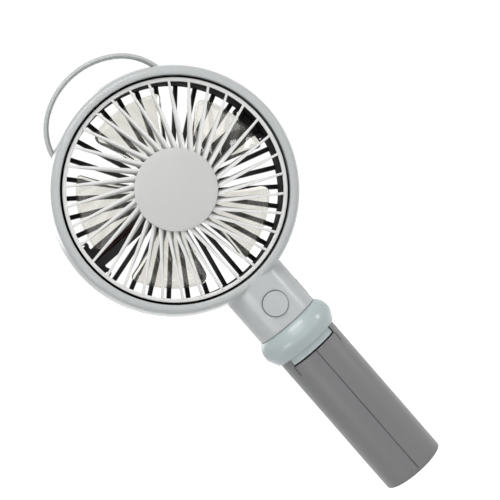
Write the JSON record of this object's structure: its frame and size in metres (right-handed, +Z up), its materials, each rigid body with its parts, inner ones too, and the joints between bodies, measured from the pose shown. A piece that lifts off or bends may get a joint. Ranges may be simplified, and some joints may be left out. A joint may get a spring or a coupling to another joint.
{
  "type": "handheld fan",
  "caption": "Battery hand fan: round head with a swirl grille and clear paddle blades, hanging loop, power button, and a hinged collar so that the head folds back over a slim round grip.",
  "frame": {"origin": "middle of the flat end of the grip, in the plane where its two half shells meet", "axes": "+Z up the grip to the hanging loop, -Y the way the fan faces and blows, +X to the right seen from the front"},
  "size_m": [0.11, 0.0366, 0.2302],
  "materials": {
    "grey_plastic": "satin moulded",
    "pale_plastic": "satin moulded",
    "dark_plastic": "fine grain",
    "charcoal_plastic": "fine grain",
    "clear_plastic": "clear polished",
    "steel": "plated",
    "lead_red": "smooth sleeve",
    "board_green": "lacquered board",
    "washer_plastic": "natural nylon",
    "cell_sleeve": "shrink sleeve",
    "foam": "closed foam"
  },
  "bodies": {
    "grip": {"grip_left_shell": "charcoal_plastic", "grip_right_shell": "charcoal_plastic", "hinge_pin": "steel", "friction_washers": "washer_plastic", "battery_cell": "cell_sleeve", "battery_tabs": "steel", "battery_pad": "foam", "battery_leads": "lead_red", "grip_screws": "steel", "end_cap": "charcoal_plastic"},
    "head": {"front_bezel": "grey_plastic", "rear_housing": "grey_plastic", "front_grille": "pale_plastic", "hub_cap": "pale_plastic", "rear_grille": "dark_plastic", "motor_can": "steel", "motor_end_cap": "dark_plastic", "motor_leads": "lead_red", "control_board": "board_green", "switch_body": "dark_plastic", "charging_socket": "steel", "board_screws": "steel", "case_screws": "steel", "hinge_collar": "grey_plastic", "hanging_loop": "grey_plastic", "neck_leads": "lead_red"},
    "impeller": {"impeller": "clear_plastic", "motor_shaft": "steel"},
    "button": {"power_button": "grey_plastic", "switch_plunger": "dark_plastic"}
  },
  "joints": [
    {"name": "head_fold", "type": "hinge", "parent": "grip", "child": "head", "pos_m": [0, 0.005, 0.0635], "axis": [-1, 0, 0], "range_deg": [0, 90]},
    {"name": "impeller_spin", "type": "hinge", "parent": "head", "child": "impeller", "pos_m": [0, 0, 0.162], "axis": [0, 1, 0], "continuous": true},
    {"name": "power_press", "type": "slide", "parent": "head", "child": "button", "axis": [0, 1, 0], "range_m": [0, 0.0005], "stiffness_N_per_m": 2000, "springref_m": -0.0002}
  ]
}
